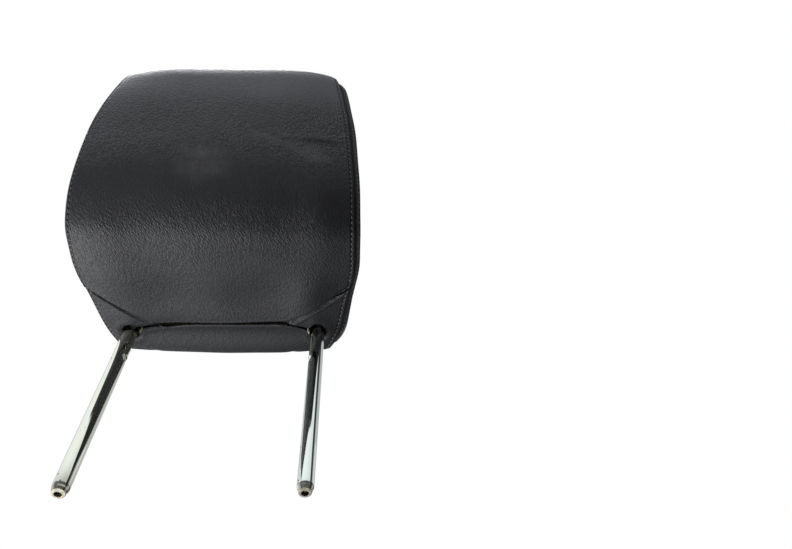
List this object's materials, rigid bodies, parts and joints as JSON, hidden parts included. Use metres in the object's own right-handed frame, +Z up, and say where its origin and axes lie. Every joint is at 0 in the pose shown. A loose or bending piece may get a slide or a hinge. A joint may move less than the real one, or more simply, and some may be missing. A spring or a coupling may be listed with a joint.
{
  "type": "car headrest",
  "caption": "A leather-covered car headrest with stitched side panels, a closing slit below and a chromed tube frame whose posts end in swaged tips.",
  "frame": {"origin": "Midway between the end faces of the two post tips, on the posts' centre plane. The seat guides take the posts here.", "axes": "+Z runs up along the posts into the pad, the pad's front faces -Y, +X runs across the seat."},
  "size_m": [0.227, 0.2159, 0.3664],
  "materials": {
    "leather": "grained, satin",
    "chrome": "polished",
    "foam": "matt open-cell foam",
    "core_plastic": "moulded, matt",
    "strip_plastic": "natural, matt",
    "screw_steel": "zinc plated",
    "thread": "twisted sewing thread, matt"
  },
  "bodies": {
    "root": {"post_frame": "chrome", "carrier_front": "core_plastic", "carrier_rear": "core_plastic", "carrier_screw_1": "screw_steel", "carrier_screw_2": "screw_steel", "carrier_screw_3": "screw_steel", "carrier_screw_4": "screw_steel", "foam_pad": "foam", "front_cover_panel": "leather", "rear_cover_panel": "leather", "left_side_panel": "leather", "right_side_panel": "leather", "front_closing_strip": "strip_plastic", "rear_closing_strip": "strip_plastic"}
  },
  "joints": []
}
